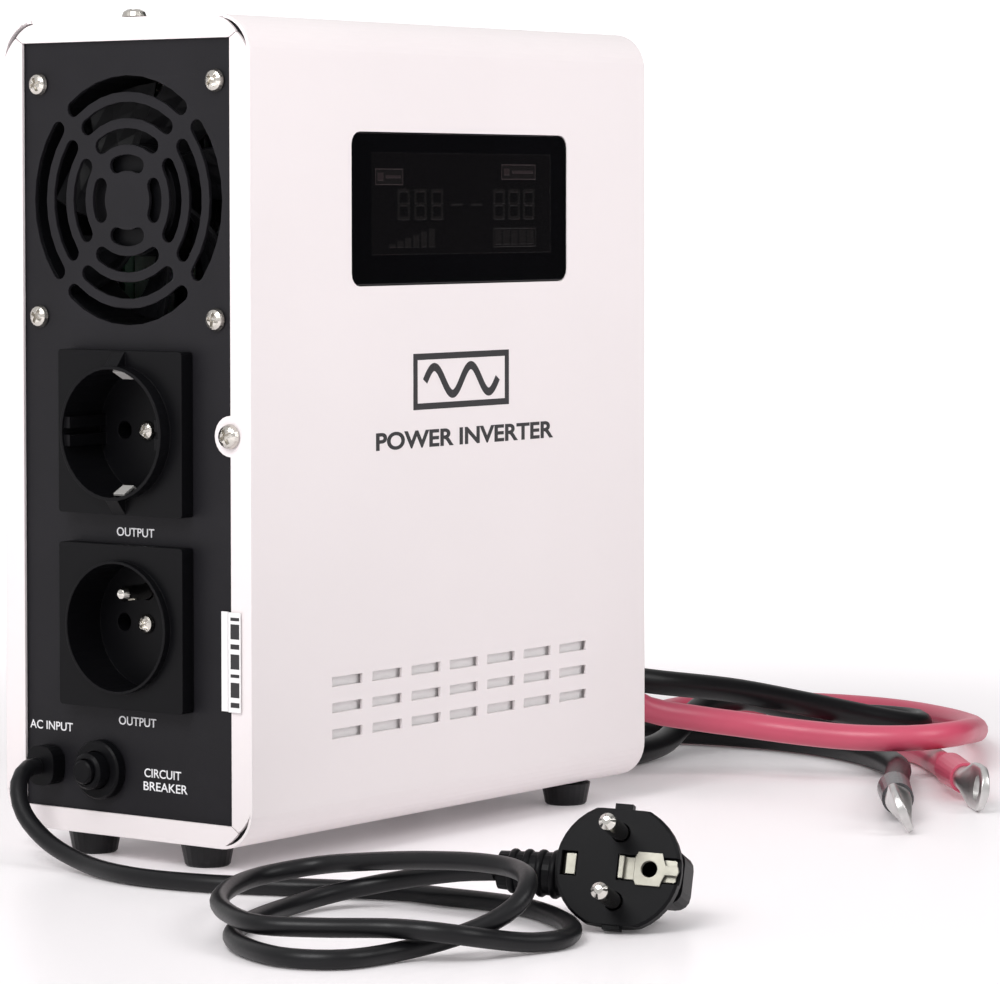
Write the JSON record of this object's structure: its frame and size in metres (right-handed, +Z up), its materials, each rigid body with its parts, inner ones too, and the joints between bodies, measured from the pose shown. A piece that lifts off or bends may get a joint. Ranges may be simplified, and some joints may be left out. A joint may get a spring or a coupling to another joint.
{
  "type": "power inverter",
  "caption": "Tower power inverter with a display, round mains outlets, a grilled fan, a mains lead with plug and battery leads with ring lugs.",
  "frame": {"origin": "centre of the bounding box, without the leads, at the level of the feet's undersides", "axes": "+Z up, the outlets and the fan grille face -X, the display faces -Y and the battery leads leave at +X"},
  "size_m": [0.5474, 0.2768, 0.2601],
  "materials": {
    "white_powder_coat": "fine-textured off-white powder coat",
    "black_satin_paint": "satin black powder coat with a fine grain",
    "black_plastic": "matte moulded black",
    "black_gloss_window": "polished, nearly opaque smoked window",
    "black_rubber": "satin black",
    "red_jacket": "satin red",
    "nickel_plate": "bright nickel plate",
    "tin_plate": "dull tin plate",
    "aluminium": "plain extruded",
    "circuit_board": "green solder mask",
    "winding_tape": "amber winding tape",
    "dark_plastic": "matte dark grey",
    "capacitor_sleeve": "dark blue shrink sleeve",
    "sticker": "matte paper label"
  },
  "bodies": {
    "housing": {"battery_gland_black": "black_plastic", "battery_gland_red": "red_jacket", "battery_lead_black": "black_rubber", "battery_lead_red": "red_jacket", "battery_lug_black": "tin_plate", "battery_lug_red": "tin_plate", "battery_sleeve_black": "black_plastic", "battery_sleeve_red": "red_jacket", "breaker_body": "black_plastic", "breaker_ring": "black_plastic", "cable_panel": "black_satin_paint", "capacitor_1": "capacitor_sleeve", "capacitor_2": "capacitor_sleeve", "chassis_tray": "white_powder_coat", "cover_screw_cable_tab": "nickel_plate", "cover_screw_cable_top": "nickel_plate", "cover_screw_plain_tab": "nickel_plate", "cover_screw_socket_tab": "nickel_plate", "cover_screw_socket_top": "nickel_plate", "display_board": "circuit_board", "display_window": "black_gloss_window", "fan_frame": "black_plastic", "fan_screw_1": "nickel_plate", "fan_screw_2": "nickel_plate", "fan_screw_3": "nickel_plate", "fan_screw_4": "nickel_plate", "foot_cable_display": "black_rubber", "foot_cable_plain": "black_rubber", "foot_socket_display": "black_rubber", "foot_socket_plain": "black_rubber", "heat_sink_1": "aluminium", "heat_sink_2": "aluminium", "lcd_module": "dark_plastic", "lower_earth_pin": "nickel_plate", "lower_outlet": "black_plastic", "lower_outlet_screw": "nickel_plate", "main_board": "circuit_board", "main_cover": "white_powder_coat", "mains_lead": "black_rubber", "mains_strain_relief": "black_plastic", "plain_side_cover": "white_powder_coat", "plug_body": "black_plastic", "plug_earth_clip_1": "nickel_plate", "plug_earth_clip_2": "nickel_plate", "plug_pin_1": "nickel_plate", "plug_pin_2": "nickel_plate", "power_switch_body": "black_plastic", "seal_sticker": "sticker", "socket_panel": "black_satin_paint", "transfer_relay": "dark_plastic", "transformer": "winding_tape", "transformer_bolt": "nickel_plate", "transformer_washer": "nickel_plate", "upper_earth_strap": "nickel_plate", "upper_outlet": "black_plastic", "upper_outlet_screw": "nickel_plate"},
    "fan": {"fan_rotor": "black_plastic"},
    "reset_button": {"reset_button": "black_plastic"},
    "power_rocker": {"power_switch_rocker": "red_jacket"}
  },
  "joints": [
    {"name": "fan_spin", "type": "hinge", "parent": "housing", "child": "fan", "pos_m": [-0.085, 0, 0.202], "axis": [1, 0, 0], "continuous": true},
    {"name": "reset_button_press", "type": "slide", "parent": "housing", "child": "reset_button", "axis": [1, 0, 0], "range_m": [-0.003, 0.0012], "stiffness_N_per_m": 300},
    {"name": "power_rocker_tilt", "type": "hinge", "parent": "housing", "child": "power_rocker", "pos_m": [0.1055, -0.02, 0.205], "axis": [0, 1, 0], "range_deg": [0, 20]}
  ]
}
